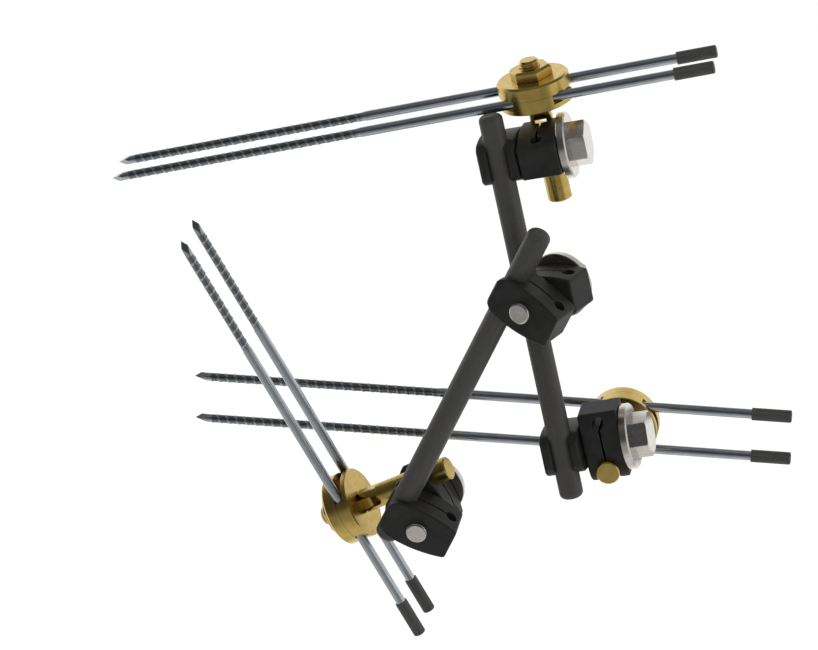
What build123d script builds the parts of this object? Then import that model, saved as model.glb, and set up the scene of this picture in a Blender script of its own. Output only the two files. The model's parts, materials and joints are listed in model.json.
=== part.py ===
from build123d import *
import math
import os

# External fixator for a broken upper arm bone. A main rod stands beside the bone and an
# oblique rod leans from it towards the bone. Four clamps of two jaws each join the rods to
# each other and to the posts of three pin clamps, and each pin clamp holds a pair of pins.
# Millimetres, +Z up along the bone, +X away from the bone, -Y towards the front.
# The origin is on the axis of the upper front pin, where its thread begins.

# Clearances
turning_gap = 0.05              # radial, wherever one piece turns or slides in another
face_gap = 0.1                  # between flat faces that turn on each other
jaw_gap = 0.2                   # between the two jaws of a clamp

# Rods
rod_diameter = 6.0
main_rod_length = 100.0
oblique_rod_length = 100.0
rod_end_round = 1.5

# Bone pins and their end caps
pin_diameter = 2.5
pin_shank_length = 86.5         # smooth, as far as the thread
pin_thread_diameter = 2.1       # between crests and core
long_pin_thread_length = 63.5   # of the upper and lower pins, point included
short_pin_thread_length = 33.5  # of the oblique pins
pin_point_length = 3.2          # ground to three faces
cap_diameter = 3.2
cap_length = 10.0
cap_bore_depth = 7.5
cap_edge = 0.4

# Bolts of the rod clamps
bolt_diameter = 5.4
bolt_tip_length = 1.4           # stands out of the last jaw
bolt_tip_edge = 0.35
bolt_flange_diameter = 16.5
bolt_flange_thickness = 2.1
bolt_flange_edge = 0.35
bolt_head_across = 10.0
bolt_head_height = 4.3
bolt_head_edge = 0.3

# Jaws of the rod clamps
jaw_width = 11.5                # along the rod, at the bolt
jaw_shoulder_width = 10.7       # along the rod, where the nose begins
jaw_tail_width = 8.4            # along the rod, at the flat tail
jaw_cheek = 1.95                # beside the rod
jaw_mouth = 4.4                 # between the lips, narrower than the rod
jaw_lip_height = 0.3            # past the rod
jaw_seat_web = 0.3              # between the rod's seat and the bolt
jaw_relief_web = 2.2            # between the bolt and the relief hole
jaw_relief_diameter = 3.1
jaw_tail_wall = 1.1             # behind the relief hole
jaw_slit = 0.6
jaw_edge = 0.5
jaw_tail_round = 0.9            # corners of the flat tail

# Pin clamps: a base and a cover hold two pins between them, under a nut on a stud
pin_spacing = 11.6
clamp_rim = 2.0                 # outside the pins
base_block_length = 10.0        # along the pins
base_block_top = 0.8            # above the pins' centres
base_block_foot = 1.5           # below the pins' centres
base_flange_thickness = 1.2
base_edge = 0.2
cover_thickness = 3.4
cover_edge = 0.5
stud_diameter = 5.0
stud_end_length = 1.8           # stands out of the nut
stud_floor = 0.5                # left under the stud in the base
stud_edge = 0.4
nut_across = 9.3
nut_height = 2.5
nut_edge = 0.35

# Hinge between a pin clamp and its post: a tongue on the base, a fork on the post
tongue_thickness = 2.8
tongue_radius = 2.05
fork_width = 5.5                # over its two flats
fork_radius = 2.3
fork_length = 3.0               # from the hinge to the round of the post
hinge_pin_diameter = 2.0

# Posts
post_diameter = 6.0
post_length = 23.2              # from the hinge to the free end
post_edge = 0.3

# Layout: heights and stations in millimetres, angles in degrees
main_rod_lean = 12.1            # towards the bone at the top
upper_clamp_drop = 12.2         # below the main rod's top end
middle_clamp_height = 53.7      # above the main rod's lower end
lower_clamp_height = 11.7
oblique_rod_rise = 18.9         # above the middle clamp
oblique_clamp_height = 8.7      # above the oblique rod's lower end

upper_clamp_roll = 169.7        # of the first jaw about its rod
middle_clamp_roll = 60.4
lower_clamp_roll = 169.0
oblique_clamp_roll = 19.7

upper_clamp_swivel = 174.7      # of the second jaw about the bolt
middle_clamp_swivel = 39.5
lower_clamp_swivel = -96.3
oblique_clamp_swivel = 37.2

upper_post_reach = 7.6          # from the hinge to the middle of the jaw
lower_post_reach = 16.1
oblique_post_reach = 13.5

upper_post_turn = 176.6         # of the hinge about the post
lower_post_turn = 166.6
oblique_post_turn = -92.2

upper_pins_reach = 42.7         # from the middle of the pin clamp to the pins' outer ends
lower_pins_reach = 40.2
oblique_pins_reach = 34.6

# Sizes that follow from the ones above
rod_radius = rod_diameter / 2
pin_radius = pin_diameter / 2
pin_thread_radius = pin_thread_diameter / 2
bolt_radius = bolt_diameter / 2
stud_radius = stud_diameter / 2
post_radius = post_diameter / 2
hinge_pin_radius = hinge_pin_diameter / 2

jaw_thickness = rod_diameter + 2 * jaw_cheek
jaw_pitch = jaw_thickness + jaw_gap
jaw_seat_radius = rod_radius + turning_gap
jaw_bolt_hole_radius = bolt_radius + turning_gap
jaw_seat_offset = jaw_bolt_hole_radius + jaw_seat_web + jaw_seat_radius
jaw_relief_offset = jaw_bolt_hole_radius + jaw_relief_web + jaw_relief_diameter / 2
jaw_nose = jaw_seat_offset + rod_radius + jaw_lip_height
jaw_tail = jaw_relief_offset + jaw_relief_diameter / 2 + jaw_tail_wall

clamp_radius = pin_spacing / 2 + pin_radius + clamp_rim
pin_groove_radius = pin_radius + turning_gap
long_pin_length = long_pin_thread_length + pin_shank_length
short_pin_length = short_pin_thread_length + pin_shank_length
base_foot = base_block_foot + base_flange_thickness
hinge_drop = base_foot + face_gap + fork_radius
cover_foot = base_block_top + face_gap
cover_top = cover_foot + cover_thickness
nut_foot = cover_top + face_gap
nut_top = nut_foot + nut_height
stud_top = nut_top + stud_end_length
slot_width = tongue_thickness + 2 * turning_gap
slot_depth = tongue_radius + face_gap


def barrel(radius, low, high):
    """A cylinder on the Z axis, from one height to another."""
    return Pos(0, 0, low) * Cylinder(radius, high - low, align=(Align.CENTER, Align.CENTER, Align.MIN))


def block(size_x, size_y, low, high):
    """A box on the Z axis, from one height to another."""
    return Pos(0, 0, low) * Box(size_x, size_y, high - low, align=(Align.CENTER, Align.CENTER, Align.MIN))


def cross_bore(radius, length):
    """A cylinder centred on the origin, along X."""
    return Rot(0, 90, 0) * Cylinder(radius, length)


def rim(shape, which):
    """The round edges of a shape at its lowest (0) or highest (-1) level."""
    return shape.edges().filter_by(GeomType.CIRCLE).group_by(Axis.Z)[which]


def hexagon(across, low, high, edge):
    """A hexagonal prism on the Z axis, with its corners turned off at the high end."""
    corner = across / math.sqrt(3)
    prism = Pos(0, 0, low) * extrude(RegularPolygon(corner, 6), high - low)
    turned = chamfer(rim(barrel(corner, low, high), -1), edge)
    return prism & turned


def rod(length):
    """A rod with rounded ends, standing on the origin."""
    plain = barrel(rod_radius, 0, length)
    return fillet(rim(plain, 0) + rim(plain, -1), rod_end_round)


def bone_pin(thread_length):
    """A pin that stands on its point; three ground faces meet there."""
    thread = barrel(pin_thread_radius, 0, thread_length)
    pin = thread + barrel(pin_radius, thread_length, thread_length + pin_shank_length)
    slope = math.degrees(math.atan(pin_thread_radius / pin_point_length))
    reach = 2 * pin_point_length
    waste = Rot(0, slope, 0) * Box(reach, reach, 2 * reach, align=(Align.MIN, Align.CENTER, Align.CENTER))
    for turn in range(3):
        pin -= Rot(0, 0, turn * 120) * waste
    return pin


def pin_cap():
    """A cap that stands on its open mouth, with a rounded end."""
    outside = barrel(cap_diameter / 2, 0, cap_length)
    return fillet(rim(outside, -1), cap_edge) - barrel(pin_radius, 0, cap_bore_depth)


def jaw():
    """A jaw with the bolt along X through the origin and the rod along Z at +Y.

    Seen along the bolt it has a rounded nose and a flat tail. Seen along the rod it is a
    spring clip: two lips past the rod, and a slit from the seat to a relief hole.
    """
    belly, shoulder, tail = jaw_width / 2, jaw_shoulder_width / 2, jaw_tail_width / 2
    nose_start = jaw_seat_offset
    side = ThreePointArc((-jaw_tail, tail), (0, belly), (nose_start, shoulder))
    nose = TangentArc(side @ 1, (jaw_nose, 0), tangent=side % 1)
    half = Curve() + side + nose
    outline = make_face(half + mirror(half, Plane.XZ) + Line((-jaw_tail, tail), (-jaw_tail, -tail)))
    outline = fillet(outline.vertices().group_by(Axis.X)[0], jaw_tail_round)
    cheeks = extrude(Plane.YZ * outline, jaw_thickness / 2, both=True)
    cheeks = fillet(cheeks.faces().filter_by(Axis.X).edges(), jaw_edge)

    lip_radius = (jaw_thickness - jaw_mouth) / 4
    lip_level = jaw_nose - lip_radius
    from_tail = (Align.CENTER, Align.MIN)
    clip = Pos(0, -jaw_tail) * Rectangle(jaw_thickness, jaw_tail + lip_level, align=from_tail)
    for lip in (-1, 1):
        clip += Pos(lip * (jaw_mouth / 2 + lip_radius), lip_level) * Circle(lip_radius)
    clip -= Pos(0, jaw_seat_offset) * Rectangle(jaw_mouth, jaw_nose, align=from_tail)
    clip -= Pos(0, jaw_seat_offset) * Circle(jaw_seat_radius)
    clip -= Pos(0, -jaw_relief_offset) * Circle(jaw_relief_diameter / 2)
    clip -= Pos(0, -jaw_relief_offset) * Rectangle(jaw_slit, jaw_relief_offset + jaw_seat_offset, align=from_tail)
    return cheeks & extrude(clip, jaw_width, both=True) - cross_bore(jaw_bolt_hole_radius, 2 * jaw_thickness)


def clamp_bolt():
    """A bolt with a flange and a hexagon; the origin is the outer face of the jaw under the head."""
    tip = -2 * jaw_thickness - jaw_gap - bolt_tip_length
    flange_top = face_gap + bolt_flange_thickness
    shank = barrel(bolt_radius, tip, face_gap)
    flange = barrel(bolt_flange_diameter / 2, face_gap, flange_top)
    head = hexagon(bolt_head_across, flange_top, flange_top + bolt_head_height, bolt_head_edge)
    return chamfer(rim(shank, 0), bolt_tip_edge) + chamfer(rim(flange, -1), bolt_flange_edge) + head


def pin_pair(radius):
    """Two bores for the pins along X, in the frame of a pin clamp."""
    length = 4 * clamp_radius
    return [Pos(0, side * pin_spacing / 2, 0) * cross_bore(radius, length) for side in (-1, 1)]


def pin_clamp_base():
    """The lower half of a pin clamp, with a flange and the hinge's tongue; +Z is towards the post."""
    slab = barrel(clamp_radius, -base_block_top, base_block_foot)
    base = slab & block(base_block_length, 2 * clamp_radius, -base_block_top, base_block_foot)
    for side in (-1, 1):
        channel = block(base_block_length, 2 * pin_groove_radius, -base_block_top, 0)
        base -= Pos(0, side * pin_spacing / 2, 0) * channel
    flange = barrel(clamp_radius, base_block_foot, base_foot)
    base += chamfer(rim(flange, -1), base_edge)
    plate = Pos(0, hinge_drop) * Circle(tongue_radius)
    plate += Pos(0, base_foot) * Rectangle(2 * tongue_radius, hinge_drop - base_foot, align=(Align.CENTER, Align.MIN))
    base += extrude(Plane.YZ * plate, tongue_thickness / 2, both=True)
    base -= Pos(0, 0, hinge_drop) * cross_bore(hinge_pin_radius + turning_gap, fork_width)
    base -= barrel(stud_radius, -base_block_top, base_foot - stud_floor)
    return base - pin_pair(pin_groove_radius)


def pin_clamp_cover():
    """The disc over the pins, with shallow grooves for them; its top has a wide chamfer."""
    disc = barrel(clamp_radius, -cover_top, -cover_foot)
    disc = chamfer(rim(disc, 0), cover_edge)
    return disc - barrel(stud_radius + turning_gap, -cover_top, -cover_foot) - pin_pair(pin_groove_radius)


def pin_clamp_stud():
    """The stud of a pin clamp, seated in the base."""
    return chamfer(rim(barrel(stud_radius, -stud_top, base_foot - stud_floor), 0), stud_edge)


def pin_clamp_nut():
    """The nut of a pin clamp, on the cover."""
    nut = hexagon(nut_across, nut_foot, nut_top, nut_edge)
    return Rot(180, 0, 0) * (nut - barrel(stud_radius + turning_gap, nut_foot, nut_top))


def hinge_pin():
    """The pin of a hinge, flush with the fork's flats."""
    return cross_bore(hinge_pin_radius, fork_width)


def post():
    """A round post that ends in a fork; the hinge is at the origin, along X."""
    shank = chamfer(rim(barrel(post_radius, fork_length, post_length), -1), post_edge)
    shoulder = Pos(0, fork_length) * Rectangle(post_diameter, post_radius)
    side = make_hull(Circle(fork_radius).edges() + shoulder.edges())
    fork = extrude(Plane.YZ * side, fork_width / 2, both=True) & barrel(post_radius, -fork_radius, fork_length)
    slot = block(slot_width, post_diameter, -fork_radius, slot_depth)
    slot += Pos(0, 0, slot_depth) * Rot(90, 0, 0) * Cylinder(slot_width / 2, post_diameter)
    return shank + fork - slot - cross_bore(hinge_pin_radius, fork_width)


def add_rod_clamp(places, name, rod_name, station, roll, swivel, second, second_side, head_side):
    """Places the two jaws and the bolt of a clamp.

    The first jaw sits on a rod. The second lies beside it on one side along the bolt, and
    swivels about the bolt. The bolt's head is on either side.
    """
    first_place = places[rod_name] * Pos(0, 0, station) * Rot(0, 0, roll) * Pos(0, -jaw_seat_offset, 0)
    places[name + "_rod_jaw"] = first_place
    places[second] = first_place * Pos(second_side * jaw_pitch, 0, 0) * Rot(swivel, 0, 0)
    outer_face = head_side * jaw_thickness / 2
    if head_side == second_side:
        outer_face += second_side * jaw_pitch
    places[name + "_bolt"] = first_place * Pos(outer_face, 0, 0) * Rot(0, head_side * 90, 0)


def add_pin_clamp(places, name, reach, turn, pins_reach, pin_length, sides):
    """Places a post in its jaw, the pin clamp on the post's hinge, and the two pins in the clamp."""
    hinge = places[name + "_post_jaw"] * Pos(0, jaw_seat_offset, -reach) * Rot(0, 0, turn)
    grip = hinge * Pos(0, 0, -hinge_drop)
    for piece in ("post", "hinge_pin"):
        places[f"{name}_{piece}"] = hinge
    for piece in ("base", "cover", "stud", "nut"):
        places[f"{name}_{piece}"] = grip
    for side, direction in sides.items():
        pin_place = grip * Pos(pins_reach - pin_length, direction * pin_spacing / 2, 0) * Rot(0, 90, 0)
        places[f"{name}_{side}_pin"] = pin_place
        places[f"{name}_{side}_cap"] = pin_place * Pos(0, 0, pin_length - cap_bore_depth)


def layout(foot):
    """The place of every piece, for a main rod that stands on a given point."""
    places = {"main_rod": foot * Rot(0, -main_rod_lean, 0)}
    add_rod_clamp(places, "upper", "main_rod", main_rod_length - upper_clamp_drop,
                  upper_clamp_roll, upper_clamp_swivel, "upper_post_jaw", -1, -1)
    add_rod_clamp(places, "middle", "main_rod", middle_clamp_height,
                  middle_clamp_roll, middle_clamp_swivel, "middle_oblique_jaw", -1, 1)
    add_rod_clamp(places, "lower", "main_rod", lower_clamp_height,
                  lower_clamp_roll, lower_clamp_swivel, "lower_post_jaw", -1, -1)
    below = oblique_rod_length - oblique_rod_rise
    places["oblique_rod"] = places["middle_oblique_jaw"] * Pos(0, jaw_seat_offset, -below)
    add_rod_clamp(places, "oblique", "oblique_rod", oblique_clamp_height,
                  oblique_clamp_roll, oblique_clamp_swivel, "oblique_post_jaw", 1, 1)
    add_pin_clamp(places, "upper", upper_post_reach, upper_post_turn,
                  upper_pins_reach, long_pin_length, {"front": 1, "rear": -1})
    add_pin_clamp(places, "lower", lower_post_reach, lower_post_turn,
                  lower_pins_reach, long_pin_length, {"top": 1, "bottom": -1})
    add_pin_clamp(places, "oblique", oblique_post_reach, oblique_post_turn,
                  oblique_pins_reach, short_pin_length, {"front": -1, "rear": 1})
    return places


def final_layout():
    """The layout with its origin where the thread of the upper front pin begins."""
    thread_start = layout(Pos(0, 0, 0))["upper_front_pin"] * Pos(0, 0, long_pin_thread_length)
    return layout(Pos(-thread_start.position))


def shapes():
    """One shape for each kind of piece, by how its nodes' names end; the first match counts."""
    short_pin, long_pin = bone_pin(short_pin_thread_length), bone_pin(long_pin_thread_length)
    return {
        "main_rod": rod(main_rod_length),
        "oblique_rod": rod(oblique_rod_length),
        "oblique_front_pin": short_pin,
        "oblique_rear_pin": short_pin,
        "jaw": jaw(),
        "bolt": clamp_bolt(),
        "base": pin_clamp_base(),
        "cover": pin_clamp_cover(),
        "stud": pin_clamp_stud(),
        "nut": pin_clamp_nut(),
        "hinge_pin": hinge_pin(),
        "post": post(),
        "cap": pin_cap(),
        "pin": long_pin,
    }


def build_nodes():
    """Every piece in its place, by its node's name."""
    kinds = shapes()
    nodes = {}
    for name, place in final_layout().items():
        kind = next(kind for kind in kinds if name.endswith(kind))
        nodes[name] = place * kinds[kind]
    return nodes


if __name__ == "__main__":
    os.makedirs("parts", exist_ok=True)
    for name, solid in build_nodes().items():
        export_step(solid, f"parts/{name}.step")
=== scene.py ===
"""The finish of an external fixator: its materials, its threads, the studio and the camera."""

import json
import logging
import math
from dataclasses import dataclass, replace
from enum import Enum
from typing import Any

import bmesh
import bpy
from mathutils import Matrix, Vector

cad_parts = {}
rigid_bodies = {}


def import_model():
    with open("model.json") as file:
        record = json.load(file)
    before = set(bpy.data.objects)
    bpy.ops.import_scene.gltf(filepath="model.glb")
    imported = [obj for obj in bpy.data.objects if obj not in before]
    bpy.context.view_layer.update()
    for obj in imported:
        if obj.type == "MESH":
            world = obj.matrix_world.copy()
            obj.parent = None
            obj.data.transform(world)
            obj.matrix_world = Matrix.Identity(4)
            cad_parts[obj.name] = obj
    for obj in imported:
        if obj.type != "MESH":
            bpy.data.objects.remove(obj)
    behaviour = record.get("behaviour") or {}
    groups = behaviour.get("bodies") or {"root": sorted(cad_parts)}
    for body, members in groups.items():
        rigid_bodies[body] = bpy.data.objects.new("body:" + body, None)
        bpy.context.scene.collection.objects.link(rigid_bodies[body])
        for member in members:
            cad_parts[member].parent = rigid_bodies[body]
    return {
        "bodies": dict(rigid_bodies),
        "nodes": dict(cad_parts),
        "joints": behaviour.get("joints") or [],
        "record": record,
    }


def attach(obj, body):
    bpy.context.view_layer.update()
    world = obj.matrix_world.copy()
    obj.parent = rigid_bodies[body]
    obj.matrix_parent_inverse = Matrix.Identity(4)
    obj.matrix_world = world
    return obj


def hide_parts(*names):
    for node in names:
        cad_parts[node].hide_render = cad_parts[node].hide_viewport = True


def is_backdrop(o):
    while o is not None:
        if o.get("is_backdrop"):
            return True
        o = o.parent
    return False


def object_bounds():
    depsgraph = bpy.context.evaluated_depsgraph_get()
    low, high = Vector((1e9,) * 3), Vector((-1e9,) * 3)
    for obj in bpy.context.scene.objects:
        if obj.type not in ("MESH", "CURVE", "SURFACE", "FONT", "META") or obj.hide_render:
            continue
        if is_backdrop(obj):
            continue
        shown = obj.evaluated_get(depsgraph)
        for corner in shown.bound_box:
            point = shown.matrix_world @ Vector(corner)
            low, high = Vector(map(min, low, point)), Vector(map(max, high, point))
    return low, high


Colour = tuple[float, float, float, float]
Scale = tuple[float, float, float]
Profile = tuple[tuple[float, float], ...]

LOG = logging.getLogger("fixator")
MM = 0.001
FULL_TURN = 2 * math.pi
UP = Vector((0.0, 0.0, 1.0))
WHITE: Colour = (1.0, 1.0, 1.0, 1.0)

# In millimetres: points this close are one, edges this short are dropped, and points this
# near to a level lie on it.
MERGE = 1e-4
SLIVER = 1e-5
LEVEL = 1e-3

# The facets round a turned form, and the angle in degrees past which its edges stay sharp.
TURNED_STEPS = 72
SHARP_ANGLE = 25.0

# The mask of the edges: its samples, and how far the normal has turned where it begins and
# where it is full.
EDGE_SAMPLES = 6
EDGE_TURN = (0.025, 0.16)

# The part of a noise that is spread over a whole mask.
NOISE_SPREAD = (0.3, 0.7)


class Slot(Enum):
    """The record's material slots for the new pieces' metals; nothing in the script reads them.
    """

    PIN = "pin_steel"
    BOLT = "bolt_steel"
    GOLD = "gold_anodised"


class PinClampName(Enum):
    """The three clamps that hold pins.

    Each has its name, its two pins, the joint along its post, and how many degrees the nut
    is turned on from its CAD node's place.
    """

    UPPER = ("upper", ("front", "rear"), "upper_clamp_turn", -8.0)
    LOWER = ("lower", ("top", "bottom"), "lower_post_slide", 0.0)
    OBLIQUE = ("oblique", ("front", "rear"), "oblique_post_slide", 0.0)


class RodClampName(Enum):
    """The four clamps on the rods.

    Each has its name, its second jaw, and how many degrees the bolt is turned on from its
    CAD node's place.
    """

    UPPER = ("upper", "upper_post_jaw", 0.0)
    MIDDLE = ("middle", "middle_oblique_jaw", 0.0)
    LOWER = ("lower", "lower_post_jaw", -16.0)
    OBLIQUE = ("oblique", "oblique_post_jaw", 0.0)


class Shade:
    """A value in a shader graph. Python's operators on it add Math nodes."""

    def __init__(self, graph: "Graph", socket: bpy.types.NodeSocket) -> None:
        """Wraps one output socket of a graph."""
        self.graph = graph
        self.socket = socket

    def __add__(self, other: Any) -> "Shade":
        """Adds a value."""
        return self.graph.math("ADD", self, other)

    def __sub__(self, other: Any) -> "Shade":
        """Takes a value away."""
        return self.graph.math("SUBTRACT", self, other)

    def __rsub__(self, other: Any) -> "Shade":
        """Is taken away from a value."""
        return self.graph.math("SUBTRACT", other, self)

    def __mul__(self, other: Any) -> "Shade":
        """Multiplies by a value."""
        return self.graph.math("MULTIPLY", self, other)

    def __truediv__(self, other: Any) -> "Shade":
        """Divides by a value."""
        return self.graph.math("DIVIDE", self, other)

    def __rtruediv__(self, other: Any) -> "Shade":
        """Divides a value."""
        return self.graph.math("DIVIDE", other, self)

    __radd__ = __add__
    __rmul__ = __mul__


class Graph:
    """A node tree that starts empty."""

    def __init__(self, tree: bpy.types.NodeTree) -> None:
        """Clears the tree."""
        self.tree = tree
        tree.nodes.clear()

    def add(self, kind: str, settings: dict[str, Any] | None = None,
            values: dict[Any, Any] | None = None) -> bpy.types.Node:
        """Adds a node.

        Args:
            kind: the node's type.
            settings: its properties.
            values: a number, colour or Shade for each socket, by name or index.

        Returns:
            The node.
        """
        node = self.tree.nodes.new(kind)
        for name, value in (settings or {}).items():
            setattr(node, name, value)
        for name, value in (values or {}).items():
            if isinstance(value, Shade):
                self.tree.links.new(value.socket, node.inputs[name])
            else:
                node.inputs[name].default_value = value
        return node

    def get(self, kind: str, output: Any = 0, settings: dict[str, Any] | None = None,
            values: dict[Any, Any] | None = None) -> Shade:
        """Adds a node and gives one of its outputs, by name or index."""
        return Shade(self, self.add(kind, settings, values).outputs[output])

    def outputs(self, kind: str, names: tuple[str, ...],
                values: dict[Any, Any] | None = None) -> list[Shade]:
        """Adds a node and gives several of its outputs, by name."""
        node = self.add(kind, None, values)
        return [Shade(self, node.outputs[name]) for name in names]

    def math(self, operation: str, first: Any, second: Any = 0.0, clamp: bool = False) -> Shade:
        """Adds a Math node on two numbers or Shades. Clamp keeps the result between 0 and 1."""
        settings = {"operation": operation, "use_clamp": clamp}
        return self.get("ShaderNodeMath", 0, settings, {0: first, 1: second})

    def vector(self, operation: str, first: Any, second: Any = (0.0, 0.0, 0.0),
               output: Any = 0) -> Shade:
        """Adds a Vector Math node. Its output is "Value" where the result is a number."""
        settings = {"operation": operation}
        return self.get("ShaderNodeVectorMath", output, settings, {0: first, 1: second})

    def mix(self, share: Any, first: Any, second: Any) -> Shade:
        """Mixes two colours. The share of the second goes from 0 to 1."""
        values = {0: share, 6: first, 7: second}
        return self.get("ShaderNodeMix", 2, {"data_type": "RGBA"}, values)

    def noise(self, place: Shade, scale: Scale, detail: float = 2.0) -> Shade:
        """Adds noise around one half.

        Args:
            place: a position in millimetres.
            scale: features per millimetre along each axis.
            detail: octaves.

        Returns:
            The noise.
        """
        scaled = self.vector("MULTIPLY", place, scale)
        values = {"Vector": scaled, "Scale": 1.0, "Detail": detail}
        return self.get("ShaderNodeTexNoise", "Fac", None, values)

    def lathe(self, place: Shade, marks: float) -> Shade:
        """Adds noise that is the same all round the axis, as a lathe leaves it.

        Args:
            place: a position in millimetres, with Z along the axis.
            marks: features per millimetre.

        Returns:
            The noise.
        """
        flat = self.vector("MULTIPLY", place, (1.0, 1.0, 0.0))
        radius = self.vector("LENGTH", flat, output="Value")
        height = self.get("ShaderNodeSeparateXYZ", "Z", None, {0: place})
        section = self.get("ShaderNodeCombineXYZ", 0, None, {0: radius, 1: height})
        return self.noise(section, (marks, marks, 0.0), detail=3.0)

    def between(self, value: Shade, low: float, high: float) -> Shade:
        """Spreads a value from 0 at low to 1 at high, with smooth ends."""
        values = {"Value": value, "From Min": low, "From Max": high}
        return self.get("ShaderNodeMapRange", 0, {"interpolation_type": "SMOOTHSTEP"}, values)

    def edge(self, reach: float) -> Shade:
        """Masks the edges, where the surface turns sharply.

        Args:
            reach: how far from an edge the mask goes, in metres.

        Returns:
            The mask, which is 1 on an edge.
        """
        rounded = self.get("ShaderNodeBevel", 0, {"samples": EDGE_SAMPLES}, {"Radius": reach})
        flat = self.get("ShaderNodeNewGeometry", "Normal")
        turn = 1.0 - self.vector("DOT_PRODUCT", rounded, flat, "Value")
        return self.between(turn, *EDGE_TURN)

    def bump(self, height: Shade, depth: float) -> Shade:
        """A Bump node's normal, for a height from 0 to 1 and a depth in metres."""
        values = {"Strength": 1.0, "Distance": depth, "Height": height}
        return self.get("ShaderNodeBump", 0, None, values)

    def principled(self, **values: Any) -> Shade:
        """A Principled BSDF. Each value's name is its socket's, with _ for spaces."""
        named = {
            name.replace("_", " ").title().replace("Ior", "IOR"): value
            for name, value in values.items()
        }
        return self.get("ShaderNodeBsdfPrincipled", 0, None, named)


def turn_to(axis: Vector) -> Matrix:
    """The turn that takes Z to an axis."""
    return axis.to_track_quat("Z", "Y").to_matrix()


@dataclass(frozen=True)
class Seat:
    """Where a piece stands: a point on its axis, the axis, and its reach along it, in metres."""

    origin: Vector
    axis: Vector
    low: float
    high: float

    @classmethod
    def of(cls, node: bpy.types.Object, axis: Vector) -> "Seat":
        """Measures a round piece.

        Args:
            node: the piece.
            axis: the direction of its axis.

        Returns:
            Its seat. The origin is level with the frame's.
        """
        turn = turn_to(axis)
        points = [turn.transposed() @ vertex.co for vertex in node.data.vertices]
        low = [min(point[i] for point in points) for i in range(3)]
        high = [max(point[i] for point in points) for i in range(3)]
        middle = turn @ Vector(((low[0] + high[0]) / 2, (low[1] + high[1]) / 2, 0.0))
        return cls(middle, axis.normalized(), low[2], high[2])

    def at(self, height: float) -> "Seat":
        """The same seat with its origin moved along the axis, in metres."""
        origin = self.origin + self.axis * height
        return Seat(origin, self.axis, self.low - height, self.high - height)

    def matrix(self) -> Matrix:
        """Takes a piece built in millimetres along Z to its place."""
        turn = turn_to(self.axis).to_4x4()
        return Matrix.Translation(self.origin) @ turn @ Matrix.Scale(MM, 4)

    def corner(self, node: bpy.types.Object, depth: float) -> float:
        """Finds the corner that stands out furthest near the high end.

        Args:
            node: the piece with the corner.
            depth: how far from the high end to look, in metres.

        Returns:
            The corner's angle about the axis, in radians.
        """
        back = turn_to(self.axis).transposed()
        points = [back @ (vertex.co - self.origin) for vertex in node.data.vertices]
        head = [point for point in points if point.z > self.high - depth]
        far = max(head, key=lambda point: math.hypot(point.x, point.y))
        return math.atan2(far.y, far.x)

    def place(self, graph: Graph) -> Shade:
        """Adds the position on the piece.

        Args:
            graph: where its nodes go.

        Returns:
            The position in millimetres, with Z along the axis.
        """
        back = self.matrix().inverted()
        values = {
            "Vector": graph.get("ShaderNodeTexCoord", "Object"),
            "Location": back.translation,
            "Rotation": back.to_euler(),
            "Scale": back.to_scale(),
        }
        return graph.get("ShaderNodeMapping", 0, {"vector_type": "POINT"}, values)


@dataclass(frozen=True)
class Finish:
    """A surface finish that makes one material for each seat."""

    name: str

    def surface(self, graph: Graph, place: Shade) -> Shade:
        """The finish's shader, for a position on the piece in millimetres."""
        raise NotImplementedError

    def material(self, label: str, seat: Seat) -> bpy.types.Material:
        """Makes the material.

        Args:
            label: the end of its name.
            seat: where the piece stands.

        Returns:
            The material.
        """
        made = bpy.data.materials.new(f"{self.name}_{label}")
        made.use_nodes = True
        graph = Graph(made.node_tree)
        shader = self.surface(graph, seat.place(graph))
        graph.add("ShaderNodeOutputMaterial", None, {"Surface": shader})
        return made


@dataclass(frozen=True)
class Carbon(Finish):
    """Pultruded carbon rod: fibres along the axis under a satin resin."""

    name: str = "carbon"
    dark: Colour = (0.036, 0.035, 0.033, 1.0)
    light: Colour = (0.066, 0.064, 0.060, 1.0)
    fibre_scale: Scale = (9.0, 9.0, 0.18)
    bundle_scale: Scale = (0.9, 0.9, 0.02)
    skin_scale: Scale = (4.5, 4.5, 2.2)
    spread: tuple[float, float] = (0.30, 0.72)
    roughness: float = 0.36
    depth: float = 9e-6

    def surface(self, graph: Graph, place: Shade) -> Shade:
        """Fine fibres, wide faint bundles and a grained skin.

        Args:
            graph: where its nodes go.
            place: the position on the piece in millimetres.

        Returns:
            The shader.
        """
        fibres = graph.noise(place, self.fibre_scale, detail=4.0)
        bundles = graph.noise(place, self.bundle_scale)
        skin = graph.noise(place, self.skin_scale, detail=3.0)
        share = graph.between(fibres * 0.35 + bundles * 0.25 + skin * 0.4, *self.spread)
        return graph.principled(
            base_color=graph.mix(share, self.dark, self.light),
            roughness=self.roughness + skin * 0.16 + fibres * 0.08,
            normal=graph.bump(fibres * 0.5 + skin * 0.5, self.depth),
        )


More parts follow.
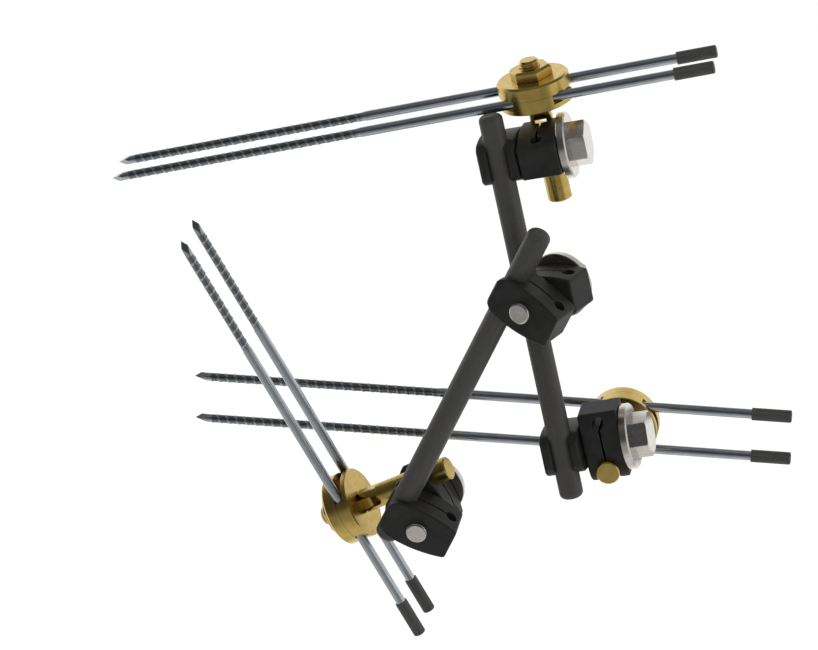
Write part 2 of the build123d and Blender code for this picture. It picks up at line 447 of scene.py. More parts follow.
@dataclass(frozen=True)
class BlackAnodised(Finish):
    """Bead-blasted aluminium, anodised black, with a painted highlight on its edges in patches.
    """

    name: str = "black"
    black: Colour = (0.0120, 0.0120, 0.0115, 1.0)
    grey: Colour = (0.0225, 0.0222, 0.0210, 1.0)
    # The paler edge colour is a painted highlight on the edges.
    painted_edge_highlight: Colour = (0.095, 0.093, 0.088, 1.0)
    grain_scale: Scale = (7.0, 7.0, 7.0)
    cloud_scale: Scale = (0.35, 0.35, 0.35)
    patch_scale: Scale = (1.6, 1.6, 1.6)
    patch_spread: tuple[float, float] = (0.34, 0.66)
    edge_reach: float = 0.00030
    roughness: float = 0.44
    depth: float = 10e-6
    specular: float = 0.32

    def surface(self, graph: Graph, place: Shade) -> Shade:
        """Blasted grain, clouded dye and a painted highlight on the edges in patches.

        Args:
            graph: where its nodes go.
            place: the position on the piece in millimetres.

        Returns:
            The shader.
        """
        grain = graph.noise(place, self.grain_scale)
        cloud = graph.noise(place, self.cloud_scale, detail=3.0)
        patches = graph.noise(place, self.patch_scale, detail=3.0)
        # Painted highlight: the edges are mixed towards the paler colour in patches.
        highlight_mask = graph.edge(self.edge_reach) * graph.between(patches, *self.patch_spread)
        share = graph.between(cloud * 0.6 + grain * 0.4, *NOISE_SPREAD)
        body = graph.mix(share, self.black, self.grey)
        return graph.principled(
            base_color=graph.mix(highlight_mask, body, self.painted_edge_highlight),
            roughness=self.roughness + grain * 0.10 - highlight_mask * 0.12,
            normal=graph.bump(grain, self.depth),
            specular_ior_level=self.specular,
        )


@dataclass(frozen=True)
class GoldAnodised(Finish):
    """Turned aluminium, anodised gold."""

    name: str = "gold"
    deep: Colour = (0.60, 0.415, 0.095, 1.0)
    bright: Colour = (0.76, 0.55, 0.175, 1.0)
    # The pale colour is a painted highlight on the edges.
    pale: Colour = (0.93, 0.80, 0.42, 1.0)
    marks: float = 9.0
    cloud_scale: Scale = (0.45, 0.45, 0.45)
    grain_scale: Scale = (11.0, 11.0, 11.0)
    edge_reach: float = 0.00022
    roughness: float = 0.15
    depth: float = 6e-6

    def surface(self, graph: Graph, place: Shade) -> Shade:
        """Lathe marks, uneven dye and a painted highlight on the edges.

        Args:
            graph: where its nodes go.
            place: the position on the piece in millimetres.

        Returns:
            The shader.
        """
        lathe = graph.lathe(place, self.marks)
        cloud = graph.noise(place, self.cloud_scale, detail=3.0)
        grain = graph.noise(place, self.grain_scale)
        # Painted highlight: the edges are mixed towards the pale colour.
        highlight_mask = graph.edge(self.edge_reach)
        share = graph.between(lathe * 0.45 + cloud * 0.55, *NOISE_SPREAD)
        body = graph.mix(share, self.deep, self.bright)
        return graph.principled(
            base_color=graph.mix(highlight_mask * 0.7, body, self.pale),
            metallic=1.0,
            roughness=self.roughness + lathe * 0.14 + grain * 0.08,
            normal=graph.bump(lathe * 0.8 + grain * 0.2, self.depth),
        )


@dataclass(frozen=True)
class Steel(Finish):
    """Steel that was turned or ground, with marks round its axis."""

    deep: Colour
    bright: Colour
    marks: float
    roughness: float
    # The edge colour is a painted highlight on the edges.
    edge_highlight_colour: Colour = (0.88, 0.87, 0.85, 1.0)
    depth: float = 4e-6
    turned_share: float = 0.5
    skin_scale: Scale = (0.7, 0.7, 0.25)
    edge_reach: float = 0.00018

    def surface(self, graph: Graph, place: Shade) -> Shade:
        """Marks round the axis, a handled skin and a painted highlight on the edges.

        Args:
            graph: where its nodes go.
            place: the position on the piece in millimetres.

        Returns:
            The shader.
        """
        lathe = graph.lathe(place, self.marks)
        skin = graph.noise(place, self.skin_scale, detail=3.0)
        # Painted highlight: the edges are mixed towards the edge colour.
        highlight_mask = graph.edge(self.edge_reach)
        skin_share = 1.0 - self.turned_share
        share = graph.between(lathe * self.turned_share + skin * skin_share, *NOISE_SPREAD)
        body = self.body(graph, place, graph.mix(share, self.deep, self.bright))
        return graph.principled(
            base_color=graph.mix(highlight_mask * 0.6, body, self.edge_highlight_colour),
            metallic=1.0,
            roughness=self.roughness + lathe * (0.24 * self.turned_share) + skin * 0.06,
            normal=graph.bump(lathe, self.depth),
        )

    def body(self, graph: Graph, place: Shade, colour: Shade) -> Shade:
        """The colour of the steel away from its edges."""
        return colour


@dataclass(frozen=True)
class PinSteel(Steel):
    """Steel of the pins, with a painted highlight on the thread's crests and painted shade in its
    roots.

    Sizes are in millimetres, and the crest's are shares of one pitch.
    """

    # The root colour is painted shade in the thread's roots, and the crest colour a painted
    # highlight on its crests.
    painted_root_shade: Colour = (0.25, 0.265, 0.28, 1.0)
    painted_crest_highlight: Colour = (0.58, 0.60, 0.62, 1.0)
    pitch: float = 2.3
    crest_place: float = 0.85
    crest_width: float = 0.16
    thread_end: float = 60.0
    end_fade: float = 0.4

    def body(self, graph: Graph, place: Shade, colour: Shade) -> Shade:
        """Paints a highlight on the thread's crests and shade in its roots, round the axis, from
        where it begins to where it ends.

        Args:
            graph: where its nodes go.
            place: the position on the pin, with its origin where the thread begins.
            colour: the colour of the shank and the point.

        Returns:
            The colour of the whole pin.
        """
        right, front, height = graph.outputs("ShaderNodeSeparateXYZ", ("X", "Y", "Z"), {0: place})
        turn = graph.math("ARCTAN2", front, right) / FULL_TURN
        # Along the helix: a painted highlight on each crest, and painted shade in the root
        # between crests.
        share = graph.math("FRACT", height / self.pitch - turn)
        off = graph.math("ABSOLUTE", share - self.crest_place)
        root_shade_share = graph.between(off, self.crest_width * 0.5, self.crest_width)
        begun = graph.between(height, 0.0, self.pitch)
        ended = graph.between(height, self.thread_end, self.thread_end + self.end_fade)
        # The thread's colour here is its painted highlight and painted shade.
        thread = graph.mix(root_shade_share, self.painted_crest_highlight, self.painted_root_shade)
        return graph.mix(begun * (1.0 - ended), colour, thread)


@dataclass(frozen=True)
class CapPlastic(Finish):
    """Moulded dark plastic of the pins' caps."""

    name: str = "cap"
    dark: Colour = (0.044, 0.044, 0.040, 1.0)
    light: Colour = (0.068, 0.067, 0.060, 1.0)
    # The paler rim colour is a painted highlight.
    painted_edge_highlight: Colour = (0.14, 0.138, 0.125, 1.0)
    flow_scale: Scale = (2.0, 2.0, 0.3)
    grain_scale: Scale = (9.0, 9.0, 9.0)
    edge_reach: float = 0.00018
    roughness: float = 0.46
    depth: float = 9e-6

    def surface(self, graph: Graph, place: Shade) -> Shade:
        """Faint flow lines along the cap, a fine skin and a painted highlight on the rims.

        Args:
            graph: where its nodes go.
            place: the position on the piece in millimetres.

        Returns:
            The shader.
        """
        flow = graph.noise(place, self.flow_scale, detail=3.0)
        grain = graph.noise(place, self.grain_scale)
        # Painted highlight: the rims are mixed towards the paler colour.
        highlight_mask = graph.edge(self.edge_reach)
        body = graph.mix(graph.between(flow, *NOISE_SPREAD), self.dark, self.light)
        return graph.principled(
            base_color=graph.mix(highlight_mask * 0.6, body, self.painted_edge_highlight),
            roughness=self.roughness + grain * 0.12,
            normal=graph.bump(grain * 0.5 + flow * 0.5, self.depth),
        )


CARBON = Carbon()
BLACK = BlackAnodised()
GOLD = GoldAnodised()
CAP = CapPlastic()
PIN_STEEL = PinSteel(
    "pin", deep=(0.52, 0.55, 0.58, 1.0), bright=(0.62, 0.65, 0.68, 1.0),
    marks=14.0, roughness=0.17, depth=0.7e-6, turned_share=0.08,
)
# The bolt's near-white edge colour is a painted highlight.
BOLT_STEEL = Steel(
    "bolt", deep=(0.66, 0.625, 0.575, 1.0), bright=(0.84, 0.80, 0.74, 1.0),
    edge_highlight_colour=(0.95, 0.92, 0.87, 1.0), marks=5.0, roughness=0.16, depth=1.2e-6,
)
HINGE_STEEL = Steel(
    "hinge", deep=(0.72, 0.70, 0.66, 1.0), bright=(0.86, 0.84, 0.80, 1.0),
    marks=8.0, roughness=0.22,
)


def dress(node: bpy.types.Object, material: bpy.types.Material) -> None:
    """Gives a CAD node its material.

    Args:
        node: the node.
        material: its material.
    """
    if not node.data.materials:
        node.data.materials.append(material)
    for index in range(len(node.data.materials)):
        node.data.materials[index] = material


def trim(shape: bmesh.types.BMesh, point: Vector, normal: Vector) -> None:
    """Cuts away what lies beyond a plane, and leaves the cut open."""
    bmesh.ops.bisect_plane(
        shape, geom=shape.verts[:] + shape.edges[:] + shape.faces[:], dist=SLIVER,
        plane_co=point, plane_no=normal, clear_outer=True,
    )


def close(shape: bmesh.types.BMesh) -> None:
    """Fills the open ends of a shape."""
    bmesh.ops.holes_fill(shape, edges=[edge for edge in shape.edges if edge.is_boundary], sides=0)


def cut(shape: bmesh.types.BMesh, point: Vector, normal: Vector) -> None:
    """Cuts away what lies beyond a plane, and closes the cut."""
    trim(shape, point, normal)
    close(shape)


def set_radius(vertex: bmesh.types.BMVert, radius: float) -> None:
    """Moves a point straight towards the axis or away from it.

    Args:
        vertex: the point.
        radius: how far from the axis it goes.
    """
    scale = radius / math.hypot(vertex.co.x, vertex.co.y)
    vertex.co.x *= scale
    vertex.co.y *= scale


def grow(shape: bmesh.types.BMesh, level: float, steps: list[tuple[float, float]]) -> None:
    """Extrudes an open end of a bar.

    Args:
        shape: the bar.
        level: where its open end is.
        steps: the radius and the height of each further ring.
    """
    edges = [
        edge for edge in shape.edges
        if edge.is_boundary and all(abs(vertex.co.z - level) < LEVEL for vertex in edge.verts)
    ]
    for radius, height in steps:
        made = bmesh.ops.extrude_edge_only(shape, edges=edges)["geom"]
        for vertex in (part for part in made if isinstance(part, bmesh.types.BMVert)):
            set_radius(vertex, radius)
            vertex.co.z = height
        edges = [part for part in made if isinstance(part, bmesh.types.BMEdge)]


def turn_up(shape: bmesh.types.BMesh, outline: list[tuple[float, float]]) -> None:
    """Adds a turned form, spun about Z from half of its section.

    Args:
        shape: where it goes.
        outline: the radius and the height of each point. It begins and ends on the axis, or
            it is closed.
    """
    line = [shape.verts.new((radius, 0.0, height)) for radius, height in outline]
    pairs = list(zip(line, line[1:]))
    if outline[0][0] > 0:
        pairs.append((line[-1], line[0]))
    edges = [shape.edges.new(pair) for pair in pairs]
    bmesh.ops.spin(
        shape, geom=line + edges, cent=(0, 0, 0), axis=UP, angle=FULL_TURN, steps=TURNED_STEPS,
        use_duplicate=False, use_merge=True,
    )
    bmesh.ops.remove_doubles(shape, verts=shape.verts, dist=MERGE)


def is_upright(edge: bmesh.types.BMEdge) -> bool:
    """Whether an edge runs along Z."""
    first, second = (vertex.co for vertex in edge.verts)
    return abs(first.x - second.x) < MERGE and abs(first.y - second.y) < MERGE


def flat_ways(corner: float, count: int) -> list[float]:
    """The directions of flats about Z that meet in a corner at an angle, in radians."""
    return [corner + math.radians((side + 0.5) * 360 / count) for side in range(count)]


@dataclass(frozen=True)
class Thread:
    """A helical thread on a round bar, in millimetres. It runs out at its low end.

    The profile gives the height of the surface between root and crest, from 0 to 1, at
    shares of one pitch, of which the first is 0.
    """

    crest: float
    root: float
    pitch: float
    profile: Profile
    run_out: float
    steps: int = 36

    def height(self, share: float) -> float:
        """Reads the profile.

        Args:
            share: a share of a pitch, from 0 to 1.

        Returns:
            The surface's height there, from 0 to 1.
        """
        points = (*self.profile, (1.0, self.profile[0][1]))
        (start, low), (end, high) = next(
            pair for pair in zip(points, points[1:]) if pair[0][0] <= share <= pair[1][0]
        )
        return low + (high - low) * (share - start) / (end - start)

    def barrel(self, low: float, high: float) -> bmesh.types.BMesh:
        """Makes a threaded bar along Z, open at both ends.

        A line of points goes once round while it climbs one pitch, so that each turn joins
        the next. The round bar is cut level at both ends before the thread is sunk into it.

        Args:
            low: where it begins.
            high: where it ends.

        Returns:
            The bar.
        """
        shape = bmesh.new()
        line = [
            shape.verts.new((self.crest, 0.0, (turn + share) * self.pitch))
            for turn in range(math.floor(low / self.pitch) - 1, math.ceil(high / self.pitch) + 1)
            for share, _ in self.profile
        ]
        edges = [shape.edges.new(pair) for pair in zip(line, line[1:])]
        bmesh.ops.spin(
            shape, geom=line + edges, cent=(0, 0, 0), axis=UP, angle=FULL_TURN,
            dvec=UP * (self.pitch / self.steps), steps=self.steps,
            use_duplicate=False, use_merge=False,
        )
        bmesh.ops.remove_doubles(shape, verts=shape.verts, dist=MERGE)
        trim(shape, UP * low, -UP)
        trim(shape, UP * high, UP)
        for vertex in shape.verts:
            self.sink(vertex, low)
        return shape

    def sink(self, vertex: bmesh.types.BMVert, low: float) -> None:
        """Moves one point of the bar in to the thread's surface.

        Args:
            vertex: the point.
            low: where the bar begins.
        """
        angle = math.atan2(vertex.co.y, vertex.co.x) / FULL_TURN
        share = (vertex.co.z / self.pitch - angle) % 1.0
        depth = 1.0 - self.height(share)
        depth *= min(1.0, max(0.0, (vertex.co.z - low) / self.run_out))
        set_radius(vertex, self.crest - depth * (self.crest - self.root))


@dataclass(frozen=True)
class Hexagon:
    """The six flats of a nut or a bolt's head, in millimetres."""

    across: float
    slope: float = 0.0
    flats: int = 6
    corner_edge: float = 0.15
    corner_angle: float = 40.0
    allowance: float = 1.01

    @property
    def bar(self) -> float:
        """The radius of the bar that the flats are cut from, a little past their corners."""
        return self.across / math.sqrt(3) * self.allowance

    def mill(self, shape: bmesh.types.BMesh, angle: float, top: float) -> None:
        """Cuts the flats into a turned form, slopes their upper edges and softens their corners.

        Args:
            shape: the turned form.
            angle: where one corner goes about Z, in radians.
            top: the height of the upper face.
        """
        for way in flat_ways(angle, self.flats):
            flat = Vector((math.cos(way), math.sin(way), 0.0))
            cut(shape, flat * self.across / 2, flat)
            if self.slope:
                edge = flat * self.across / 2 + UP * (top - self.slope)
                cut(shape, edge, (flat + UP).normalized())
        bmesh.ops.recalc_face_normals(shape, faces=shape.faces)
        sharp = math.radians(self.corner_angle)
        corners = [
            edge for edge in shape.edges
            if edge.is_manifold and edge.calc_face_angle() > sharp and is_upright(edge)
        ]
        bmesh.ops.bevel(
            shape, geom=corners, offset=self.corner_edge, offset_type="OFFSET", affect="EDGES",
            segments=2, profile=0.5, material=-1, clamp_overlap=True,
        )


@dataclass(frozen=True)
class Site:
    """Where a new piece goes: the CAD node that it stands for, that node's body and its seat."""

    node: str
    body: str
    seat: Seat

    @property
    def ends(self) -> tuple[float, float]:
        """The heights of the low end and the high end, in millimetres."""
        return self.seat.low / MM, self.seat.high / MM

    def fill(self, shape: bmesh.types.BMesh, work: str, finish: Finish,
             sharp: float = SHARP_ANGLE) -> bpy.types.Object:
        """Turns a shape built in millimetres along Z into the piece that stands for the node.

        Args:
            shape: the shape.
            work: how it was made, for its name.
            finish: its finish.
            sharp: the angle in degrees past which an edge stays sharp.

        Returns:
            The piece.
        """
        bmesh.ops.remove_doubles(shape, verts=shape.verts, dist=MERGE)
        bmesh.ops.dissolve_degenerate(shape, edges=shape.edges, dist=SLIVER)
        bmesh.ops.recalc_face_normals(shape, faces=shape.faces)
        bmesh.ops.transform(shape, matrix=self.seat.matrix(), verts=shape.verts)
        name = f"{work}_{self.node}"
        mesh = bpy.data.meshes.new(name)
        shape.to_mesh(mesh)
        shape.free()
        mesh.shade_smooth()
        mesh.set_sharp_from_angle(angle=math.radians(sharp))
        mesh.materials.append(finish.material(self.node, self.seat))
        piece = bpy.data.objects.new(name, mesh)
        bpy.context.scene.collection.objects.link(piece)
        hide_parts(self.node)
        LOG.info("%s: %s", finish.name, name)
        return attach(piece, self.body)


@dataclass(frozen=True)
class ClampBolt:
    """The flanged bolt of a rod clamp, in millimetres."""

    radius: float = 2.7
    tip_edge: float = 0.4
    tip_inset: float = 0.12
    tip_round: float = 0.45
    flange_radius: float = 8.25
    flange_thickness: float = 2.1
    flange_edge: float = 0.35
    head_height: float = 4.3
    head_edge: float = 0.25
    head_sunk: float = 0.2
    head_searched: float = 0.8
    hexagon: Hexagon = Hexagon(10.0)

    def build(self, site: Site, turn: float) -> bpy.types.Object:
        """Makes the bolt. Its seat's axis points to the head.

        Args:
            site: where it goes.
            turn: where one corner of the hexagon goes, in radians.

        Returns:
            The bolt.
        """
        tip, top = site.ends
        flange_top = top - self.head_height
        head_foot = flange_top - self.head_sunk
        foot = flange_top - self.flange_thickness
        bar, rim = self.hexagon.bar, self.flange_radius
        shape = bmesh.new()
        turn_up(shape, [
            (0.0, head_foot),
            (bar, head_foot),
            (bar, top - self.head_edge),
            (bar - 2 * self.head_edge, top),
            (0.0, top),
        ])
        self.hexagon.mill(shape, turn, top)
        turn_up(shape, [
            (0.0, tip),
            (self.radius - self.tip_edge, tip),
            (self.radius - self.tip_inset, tip + self.tip_edge * self.tip_round),
            (self.radius, tip + self.tip_edge),
            (self.radius, foot),
            (rim - self.flange_edge / 2, foot),
            (rim, foot + self.flange_edge / 2),
            (rim, flange_top - self.flange_edge),
            (rim - self.flange_edge, flange_top),
            (0.0, flange_top),
        ])
        return site.fill(shape, "turned", BOLT_STEEL)


@dataclass(frozen=True)
class ClampNut:
    """The nut of a pin clamp, in millimetres."""

    bore: float = 2.55
    mouth: float = 0.3
    hexagon: Hexagon = Hexagon(9.4, slope=0.55)

    def build(self, site: Site, turn: float) -> bpy.types.Object:
        """Makes the nut. Its seat's axis points to the stud's free end.

        Args:
            site: where it goes.
            turn: where one corner of the hexagon goes, in radians.

        Returns:
            The nut.
        """
        foot, top = site.ends
        shape = bmesh.new()
        turn_up(shape, [
            (self.bore, foot),
            (self.hexagon.bar, foot),
            (self.hexagon.bar, top),
            (self.bore + self.mouth, top),
            (self.bore, top - self.mouth),
        ])
        self.hexagon.mill(shape, turn, top)
        return site.fill(shape, "turned", GOLD)


@dataclass(frozen=True)
class ThreadedPin:
    """A pin with its thread and its three-faced point, in millimetres."""

    thread: Thread = Thread(
        crest=1.17, root=1.05, pitch=2.3, run_out=1.8,
        profile=(
            (0.0, 0.0), (0.18, 0.0), (0.36, 0.0), (0.54, 0.0), (0.68, 0.06), (0.77, 0.88),
            (0.82, 1.0), (0.90, 1.0), (0.95, 0.88),
        ),
    )
    shank: float = 1.25
    point: float = 3.2
    point_faces: int = 3
    point_searched: float = 0.55
    neck: float = 1.4
    last_turn: float = 0.3
    end_edge: float = 0.15
    sharp: float = 32.0

    def build(self, site: Site, ridge: float) -> bpy.types.Object:
        """Makes the pin. Its seat's origin is where the thread begins.

        Args:
            site: where it goes.
            ridge: where one ridge between two ground faces goes, in radians.

        Returns:
            The pin.
        """
        tail, tip = site.ends
        root, shank = self.thread.root, self.shank
        thread_end = tip - self.point - self.neck
        shape = self.thread.barrel(0.0, thread_end)
        grow(shape, 0.0, [
            (shank, 0.0), (shank, tail + self.end_edge), (shank - self.end_edge, tail),
        ])
        grow(shape, thread_end, [(root, thread_end + self.last_turn), (root, tip)])
        close(shape)
        slope = math.atan(root / self.point)
        for way in flat_ways(ridge, self.point_faces):
            flat = Vector((math.cos(way), math.sin(way), 0.0))
            cut(shape, UP * tip, flat * math.cos(slope) + UP * math.sin(slope))
        steel = replace(PIN_STEEL, pitch=self.thread.pitch, thread_end=thread_end)
        return site.fill(shape, "threaded", steel, self.sharp)


@dataclass(frozen=True)
class ClampStud:
    """The threaded stud of a pin clamp, in millimetres."""

    thread: Thread = Thread(
        crest=2.5, root=2.32, pitch=0.7, run_out=1.0,
        profile=((0.0, 0.0), (0.16, 0.0), (0.5, 0.95), (0.58, 1.0), (0.72, 0.95)),
        steps=48,
    )
    threaded: float = 6.0
    end_edge: float = 0.45

    def build(self, site: Site) -> bpy.types.Object:
        """Makes the stud. Its seat's axis points to the free end.

        Args:
            site: where it goes.

        Returns:
            The stud.
        """
        foot, top = site.ends
        radius = self.thread.crest
        thread_start, thread_end = top - self.threaded, top - self.end_edge
        shape = self.thread.barrel(thread_start, thread_end)
        grow(shape, thread_start, [(radius, foot)])
        grow(shape, thread_end, [(radius - self.end_edge, top)])
        close(shape)
        return site.fill(shape, "threaded", GOLD)


class Fixator:
    """The whole frame: it dresses the CAD nodes, and builds the turned and threaded pieces."""

    def __init__(self, frame: dict[str, Any]) -> None:
        """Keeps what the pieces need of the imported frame.

        Args:
            frame: the frame, as loaded.
        """
        self.nodes = frame["nodes"]
        self.joints = {joint["name"]: joint for joint in frame["joints"]}
        self.mounts = {mount["name"]: mount for mount in frame["record"]["mounts"]}
        bodies = frame["record"]["behaviour"]["bodies"]
        self.bodies = {node: body for body, members in bodies.items() for node in members}

    def axis(self, joint: str) -> Vector:
        """The direction of a joint's axis."""
        return Vector(self.joints[joint]["axis"]).normalized()

    def seat(self, node: str, axis: Vector) -> Seat:
        """The seat of a CAD node on an axis."""
        return Seat.of(self.nodes[node], axis)

    def headed(self, node: str, axis: Vector) -> Seat:
        """The seat of a headed piece. Most of its points are on its head.

        Args:
            node: the piece's CAD node.
            axis: the direction of its axis, either way.

        Returns:
            The seat, with its axis towards the head.
        """
        seat = self.seat(node, axis)
        heights = [vertex.co.dot(seat.axis) for vertex in self.nodes[node].data.vertices]
        if sum(heights) / len(heights) < (seat.low + seat.high) / 2:
            return self.seat(node, -axis)
        return seat

    def site(self, node: str, seat: Seat) -> Site:
        """The site of the piece that stands for a CAD node."""
        return Site(node, self.bodies[node], seat)

    def put(self, finish: Finish, names: list[str], seat: Seat) -> None:
        """Gives some nodes one finish on one seat.

        Args:
            finish: the finish.
            names: the CAD nodes.
            seat: the seat whose axis its marks follow.
        """
        material = finish.material(names[0], seat)
        for name in names:
            dress(self.nodes[name], material)
        LOG.info("%s: %s", finish.name, ", ".join(names))

    def rods(self) -> None:
        """Dresses the two rods."""
        for name in ("main_rod", "oblique_rod"):
            self.put(CARBON, [name], self.seat(name, self.axis(f"{name}_slide")))

    def rod_clamp(self, clamp: RodClampName) -> None:
        """Dresses the two jaws of a clamp and builds its bolt.

        Args:
            clamp: the clamp.
        """
        name, second_jaw, turned_on = clamp.value
        node = f"{name}_bolt"
        seat = self.headed(node, self.axis(f"{name}_bolt_turn"))
        self.put(BLACK, [f"{name}_rod_jaw", second_jaw], seat)
        bolt = ClampBolt()
        corner = seat.corner(self.nodes[node], bolt.head_height * bolt.head_searched * MM)
        bolt.build(self.site(node, seat), corner + math.radians(turned_on))

    def pin_clamp(self, clamp: PinClampName) -> None:
        """Dresses a pin clamp and its post, and builds its stud, nut and pins.

        Args:
            clamp: the clamp.
        """
        name, pins, post_joint, turned_on = clamp.value
        base, stud, nut = f"{name}_base", f"{name}_stud", f"{name}_nut"
        post, hinge = f"{name}_post", f"{name}_hinge_pin"
        up = self.axis(f"{name}_nut_turn")
        stud_seat, base_seat = self.seat(stud, up), self.seat(base, up)
        if stud_seat.high + stud_seat.low < base_seat.high + base_seat.low:
            up = -up
            stud_seat = self.seat(stud, up)
        self.put(GOLD, [base, f"{name}_cover"], stud_seat)
        self.put(GOLD, [post], self.seat(post, self.axis(post_joint)))
        self.put(HINGE_STEEL, [hinge], self.seat(hinge, self.axis(f"{name}_post_tilt")))
        ClampStud().build(self.site(stud, stud_seat))
        nut_seat = self.seat(nut, up)
        corner = nut_seat.corner(self.nodes[nut], nut_seat.high - nut_seat.low)
        ClampNut().build(self.site(nut, nut_seat), corner + math.radians(turned_on))
        for side in pins:
            self.pin(f"{name}_{side}_pin", f"{name}_{side}_cap")

    def pin(self, node: str, cap: str) -> None:
        """Builds a threaded pin and dresses its cap.

        Args:
            node: the pin's CAD node.
            cap: the cap's CAD node.
        """
        mount = self.mounts[f"{node}_thread"]
        along = Vector(mount["axis"]).normalized()
        seat = self.seat(node, along).at(Vector(mount["pos_m"]).dot(along))
        pin = ThreadedPin()
        ridge = seat.corner(self.nodes[node], pin.point * pin.point_searched * MM)
        pin.build(self.site(node, seat), ridge)
        self.put(CAP, [cap], seat)

    def build(self) -> None:
        """Builds and dresses everything."""
        self.rods()
        for clamp in RodClampName:
            self.rod_clamp(clamp)
        for clamp in PinClampName:
            self.pin_clamp(clamp)


@dataclass(frozen=True)
class Lamp:
    """A soft studio lamp that metal doesn't mirror."""

    name: str
    way: tuple[float, float, float]
    width: float
    height: float
    power: float
    distance: float = 1.2

    def build(self, target: Vector) -> None:
        """Places the lamp, turned to its target.

        Args:
            target: the point that it lights.
        """
        data = bpy.data.lights.new(self.name, "AREA")
        data.shape = "RECTANGLE"
        data.size = self.width
        data.size_y = self.height
        data.energy = self.power
        lamp = bpy.data.objects.new(self.name, data)
        way = Vector(self.way).normalized()
        lamp.location = target + way * self.distance
        lamp.rotation_mode = "QUATERNION"
        lamp.rotation_quaternion = way.to_track_quat("Z", "Y")
        lamp.visible_glossy = False
        bpy.context.scene.collection.objects.link(lamp)


@dataclass(frozen=True)
class Fade:
    """How the room brightens along one direction, from start to end of its -1 to 1."""

    start: float
    end: float
    strength: float = 1.0

    def rise(self, graph: Graph, along: Shade) -> Shade:
        """From 0 at the start to the strength at the end."""
        return graph.between(along, self.start, self.end) * self.strength

    def fall(self, graph: Graph, along: Shade) -> Shade:
        """From the strength at the start to 0 at the end."""
        return (1.0 - graph.between(along, self.start, self.end)) * self.strength


@dataclass(frozen=True)
class Room:
    """What is round the object: even light, white for the camera, and a room that metal mirrors.

    The room has a white backdrop, which ends at the ceiling and is greyer to the right, a
    white wall beside it, a pale ground and a dark rest.
    """

    backdrop: Fade = Fade(0.10, 0.60)
    ceiling: Fade = Fade(0.40, 0.90)
    right: Fade = Fade(0.48, 0.68, 0.28)
    wall: Fade = Fade(0.55, 0.90, 0.70)
    ground: Fade = Fade(-0.30, 0.02, 0.26)
    below: Fade = Fade(-1.0, -0.50, 0.38)
    above: Fade = Fade(0.45, 0.95, 0.10)
    dark: Colour = (0.060, 0.061, 0.063, 1.0)
    light: Colour = (0.55, 0.55, 0.55, 1.0)

    def mirrored(self, graph: Graph) -> Shade:
        """Adds the room that metal mirrors.

        Args:
            graph: where its nodes go.

        Returns:
            Its colour in each direction.
        """
        way = {0: graph.get("ShaderNodeTexCoord", "Generated")}
        across, forward, upward = graph.outputs("ShaderNodeSeparateXYZ", ("X", "Y", "Z"), way)
        behind = self.backdrop.rise(graph, forward) * self.ceiling.fall(graph, upward)
        behind = behind * (1.0 - self.right.rise(graph, across))
        beside = self.wall.rise(graph, across)
        level = self.ground.fall(graph, upward) + self.below.fall(graph, upward)
        level = level + self.above.rise(graph, upward)
        white = graph.math("MAXIMUM", graph.math("MAXIMUM", behind, beside), level)
        return graph.mix(white, self.dark, WHITE)

    def build(self) -> None:
        """Makes the world."""
        world = bpy.data.worlds.new("studio")
        bpy.context.scene.world = world
        world.use_nodes = True
        graph = Graph(world.node_tree)
        rays = ("Is Camera Ray", "Is Glossy Ray")
        camera, glossy = graph.outputs("ShaderNodeLightPath", rays)
        lit = graph.mix(glossy, self.light, self.mirrored(graph))
        values = {"Color": graph.mix(camera, lit, WHITE), "Strength": 1.0}
        shader = graph.get("ShaderNodeBackground", 0, None, values)
        graph.add("ShaderNodeOutputWorld", None, {"Surface": shader})


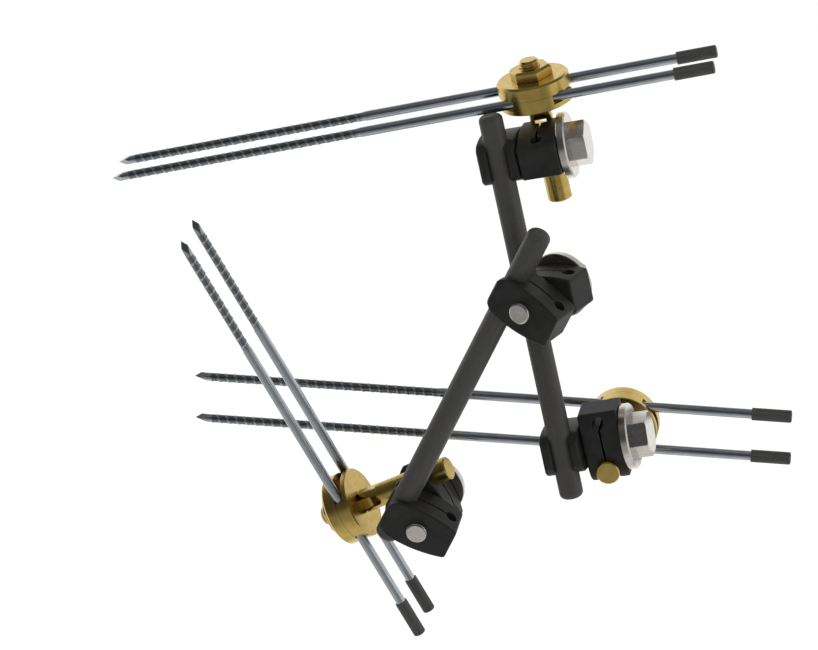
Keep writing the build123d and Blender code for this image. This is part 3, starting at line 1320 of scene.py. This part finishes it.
@dataclass(frozen=True)
class Studio:
    """The floor, the lamps, the room and the camera.

    The floor lies lower than any pose reaches. Sizes are in metres, except the sensor's, in
    millimetres, and the frame's, in pixels.
    """

    look_at: tuple[float, float, float] = (0.01194, -0.00691, -0.04726)
    camera_distance: float = 1.5
    camera_near: float = 0.05
    elevation: float = 15.5
    pixels_per_metre: float = 4050.0
    frame_width: float = 818.0
    sensor: float = 36.0
    floor_gap: float = 0.055
    floor_size: float = 12.0
    floor_colour: Colour = (0.93, 0.93, 0.93, 1.0)
    floor_glow: float = 0.38
    room: Room = Room()
    lamps: tuple[Lamp, ...] = (
        Lamp("key", way=(-0.45, -0.80, 1.10), width=0.55, height=0.75, power=2.4),
        Lamp("side", way=(1.20, -0.55, 0.35), width=0.35, height=0.90, power=2.4),
        Lamp("back", way=(0.15, 0.95, 0.95), width=1.00, height=0.40, power=1.6),
    )

    def build(self, lowest: float) -> None:
        """Sets up the studio.

        Args:
            lowest: the height of the object's lowest point, in metres.
        """
        self.floor(lowest - self.floor_gap)
        for lamp in self.lamps:
            lamp.build(Vector(self.look_at))
        self.room.build()
        self.camera()
        LOG.info("studio: floor, %d lamps, room and camera", len(self.lamps))

    def seen(self, graph: Graph) -> Shade:
        """Tells the rays that look at the background.

        Args:
            graph: where its nodes go.

        Returns:
            1 for rays from the camera, a mirror-like surface or glass, else 0.
        """
        rays = ("Is Camera Ray", "Is Glossy Ray", "Is Transmission Ray")
        camera, glossy, clear = graph.outputs("ShaderNodeLightPath", rays)
        return graph.math("ADD", camera + glossy, clear, clamp=True)

    def floor(self, level: float) -> None:
        """Makes the floor, which shows white and keeps the object's shadow.

        Args:
            level: its height in metres.
        """
        shape = bmesh.new()
        bmesh.ops.create_grid(shape, x_segments=1, y_segments=1, size=self.floor_size / 2)
        bmesh.ops.translate(shape, verts=shape.verts, vec=UP * level)
        mesh = bpy.data.meshes.new("floor")
        shape.to_mesh(mesh)
        shape.free()
        material = bpy.data.materials.new("floor_white")
        material.use_nodes = True
        graph = Graph(material.node_tree)
        pale = graph.get("ShaderNodeBsdfDiffuse", 0, None, {"Color": self.floor_colour})
        values = {"Color": WHITE, "Strength": self.seen(graph) * self.floor_glow}
        glow = graph.get("ShaderNodeEmission", 0, None, values)
        both = graph.get("ShaderNodeAddShader", 0, None, {0: pale, 1: glow})
        graph.add("ShaderNodeOutputMaterial", None, {"Surface": both})
        mesh.materials.append(material)
        floor = bpy.data.objects.new("floor", mesh)
        floor.visible_glossy = False
        bpy.context.scene.collection.objects.link(floor)
        floor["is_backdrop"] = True

    def camera(self) -> None:
        """Places the camera at the photograph's angle."""
        data = bpy.data.cameras.new("camera")
        data.sensor_width = self.sensor
        data.lens = self.pixels_per_metre * self.camera_distance / self.frame_width * self.sensor
        data.clip_start = self.camera_near
        camera = bpy.data.objects.new("camera", data)
        tilt = math.radians(self.elevation)
        back = Vector((0.0, -math.cos(tilt), math.sin(tilt)))
        camera.location = Vector(self.look_at) + back * self.camera_distance
        camera.rotation_euler = (math.pi / 2 - tilt, 0.0, 0.0)
        bpy.context.scene.collection.objects.link(camera)
        bpy.context.scene.camera = camera


def corners(box: tuple[Vector, Vector]) -> list[list[float]]:
    """A box as plain lists."""
    return [list(corner) for corner in box]


def main() -> None:
    """Loads the frame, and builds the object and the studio."""
    logging.basicConfig(level=logging.INFO, format="%(name)s: %(message)s")
    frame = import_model()
    cad_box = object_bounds()
    scene = bpy.context.scene
    for old in [thing for thing in scene.objects if thing.type in {"LIGHT", "CAMERA"}]:
        bpy.data.objects.remove(old)
    scene.view_settings.view_transform = "Standard"
    Fixator(frame).build()
    Studio().build(cad_box[0].z)


if __name__ == "__main__":
    main()
